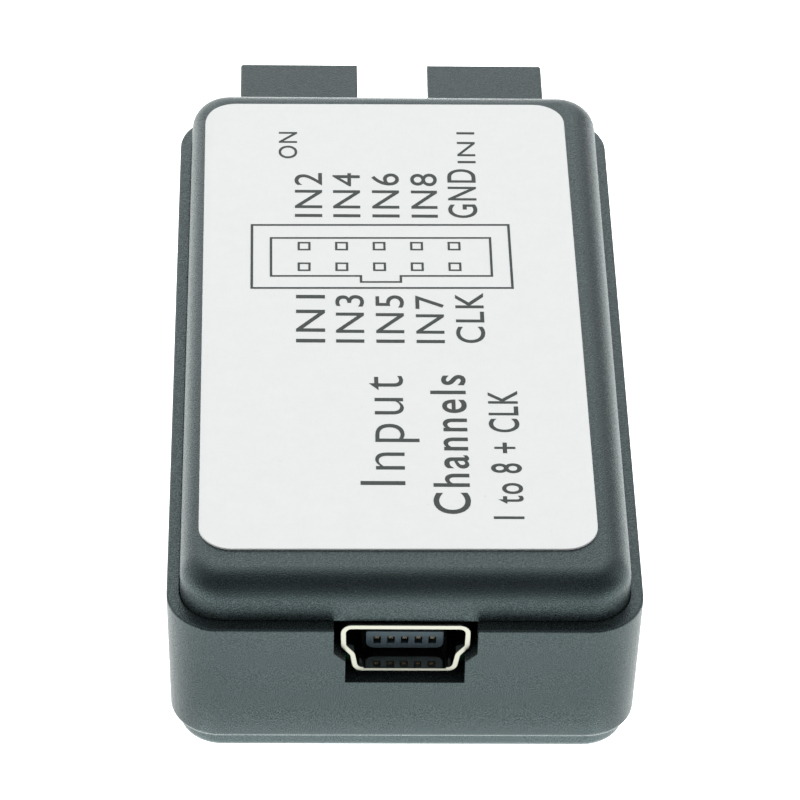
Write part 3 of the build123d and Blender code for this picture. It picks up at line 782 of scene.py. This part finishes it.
def build_floor():
    half, z = 1.6, -0.00003
    mesh = bpy.data.meshes.new("studio_floor")
    corners = [(*corner, z) for corner in rectangle(0, 0, half, half)]
    mesh.from_pydata(corners, [], [(0, 1, 2, 3)])
    floor = bpy.data.objects.new("studio_floor", mesh)
    scene.collection.objects.link(floor)
    mesh.materials.append(floor_white())


def build_world():
    world = bpy.data.worlds.new("studio")
    scene.world = world
    world.use_nodes = True
    net = Net(world.node_tree)
    background = net.tree.nodes["Background"].inputs
    direction = net.node("ShaderNodeTexCoord").outputs["Generated"]
    toward = net.axes(direction)

    def lobe(axis, inner, outer, gain, kind="SMOOTHSTEP"):
        """Gain inside a cone about axis, falling to nothing; inner and outer are cosines."""
        dot = net.node("ShaderNodeVectorMath", operation="DOT_PRODUCT")
        dot.inputs[1].default_value = Vector(axis).normalized()
        net.put(direction, dot.inputs[0])
        return net.remap(dot.outputs["Value"], to=(0.0, gain), over=(outer, inner), kind=kind)

    # light that falls on matt surfaces: a sky gradient, three glows, shade behind the camera
    horizon, zenith = 1.05, 0.42
    total = net.remap(toward["Z"], to=(horizon, zenith), over=(0.10, 0.85), kind="SMOOTHSTEP")
    for axis, outer, gain in (((0.15, 0.75, 0.62), 0.55, 1.60),):
        total = net.plus(total, lobe(axis, inner=0.92, outer=outer, gain=gain))
    for side, gain in ((1.0, 0.5), (-1.0, 0.3)):
        glow = lobe((side, 0.2, 0.45), inner=0.93, outer=0.60, gain=gain)
        total = net.plus(total, glow)
    shade = lobe(TOWARDS_CAMERA, inner=0.97, outer=0.72, gain=0.85)
    fill = net.product(total, net.minus(1.0, shade))

    # what shiny surfaces mirror: a window behind and above, a dim room, a bright table edge
    window, dim, table = 2.1, 0.16, 1.05
    upward = net.math("MAXIMUM", toward["Z"], 0.0)
    low = net.math("POWER", net.minus(1.0, upward), 2.0)
    room = net.plus(net.product(low, table - dim), dim)
    pane = lobe((0.0, 0.754, 0.657), inner=1.0, outer=0.47, gain=1.0, kind="LINEAR")
    pane = net.product(net.math("POWER", pane, 2.0), window)
    right = net.remap(toward["X"], to=(1.0, 0.48), over=(0.04, 0.36))
    left = net.remap(toward["X"], to=(0.78, 1.0), over=(-0.36, -0.04))
    high = net.remap(toward["Z"], to=(0.0, 1.0), over=(0.05, 0.28))
    sides = net.minus(net.product(right, left), 1.0)
    sides = net.plus(1.0, net.product(high, sides))
    ahead = net.remap(toward["Y"], to=(0.55, 1.0), over=(-0.6, 0.1))
    mirror = net.product(net.plus(room, pane), sides, ahead)
    left_glow = lobe((-0.60, 0.75, 0.25), inner=0.97, outer=0.78, gain=0.45)
    mirror = net.plus(mirror, left_glow)

    glossy = net.node("ShaderNodeLightPath").outputs["Is Glossy Ray"]
    pick = net.node("ShaderNodeMix")
    for socket, value in ((0, glossy), (2, fill), (3, mirror)):
        net.put(value, pick.inputs[socket])
    net.put((0.985, 1.0, 1.0), background["Color"])
    net.put(pick.outputs[0], background["Strength"])


def softbox(name, place, power):
    """A rectangular light aimed at the case."""
    light = bpy.data.lights.new(name, "AREA")
    light.shape = "RECTANGLE"
    light.size, light.size_y = 0.30, 0.4
    light.energy = power
    holder = bpy.data.objects.new(name, light)
    holder.location = place
    aim = Vector((0, 0, 0.008)) - Vector(place)
    holder.rotation_euler = aim.to_track_quat("-Z", "Y").to_euler()
    scene.collection.objects.link(holder)


def build_camera():
    right = (0.99959679, -0.01787771, 0.0220599)
    upward = (-0.00488559, 0.65703043, 0.75384823)
    place = (-0.00764332, -0.20995633, 0.18980130)
    lens = bpy.data.cameras.new("photo_camera")
    lens.lens, lens.sensor_width = 197.508, 36.0
    lens.clip_start, lens.clip_end = 0.01, 20.0
    camera = bpy.data.objects.new("photo_camera", lens)
    camera.matrix_world = Matrix((*zip(right, upward, TOWARDS_CAMERA, place), (0, 0, 0, 1)))
    scene.collection.objects.link(camera)
    scene.camera = camera


build_floor()
build_world()
softbox("soft_left", place=(-0.42, 0.05, 0.22), power=0.25)
softbox("soft_right", place=(0.45, 0.08, 0.22), power=0.35)
build_camera()
scene.view_settings.view_transform = "Standard"
scene.view_settings.look = "None"
